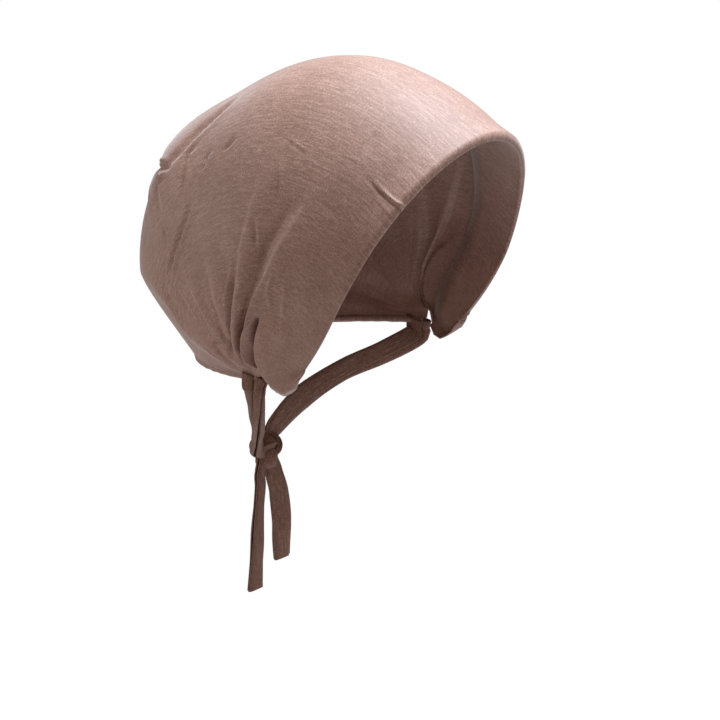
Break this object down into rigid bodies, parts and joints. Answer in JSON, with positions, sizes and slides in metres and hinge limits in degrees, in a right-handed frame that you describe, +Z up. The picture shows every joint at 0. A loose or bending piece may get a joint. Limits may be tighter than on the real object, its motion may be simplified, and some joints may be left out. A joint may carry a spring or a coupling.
{
  "type": "tie-back underscarf cap",
  "caption": "Stretch-jersey head cap with a lobe over each ear, gathered at the sides and tied behind the neck",
  "frame": {"origin": "the point inside the crown that bears on the top of the head", "axes": "+X to the wearer's left, the face looks along -Y, +Z up"},
  "size_m": [0.1657, 0.194, 0.2656],
  "materials": {
    "crown_jersey": "matte fine-rib stretch jersey, dusty mauve taupe",
    "hem_jersey": "matte rolled jersey hem",
    "tie_jersey": "matte folded jersey strip"
  },
  "bodies": {
    "root": {"crown": "crown_jersey", "nape_casing": "hem_jersey", "right_tie": "tie_jersey", "left_tie": "tie_jersey", "knot": "tie_jersey", "right_tie_end": "tie_jersey", "left_tie_end": "tie_jersey"}
  },
  "joints": []
}
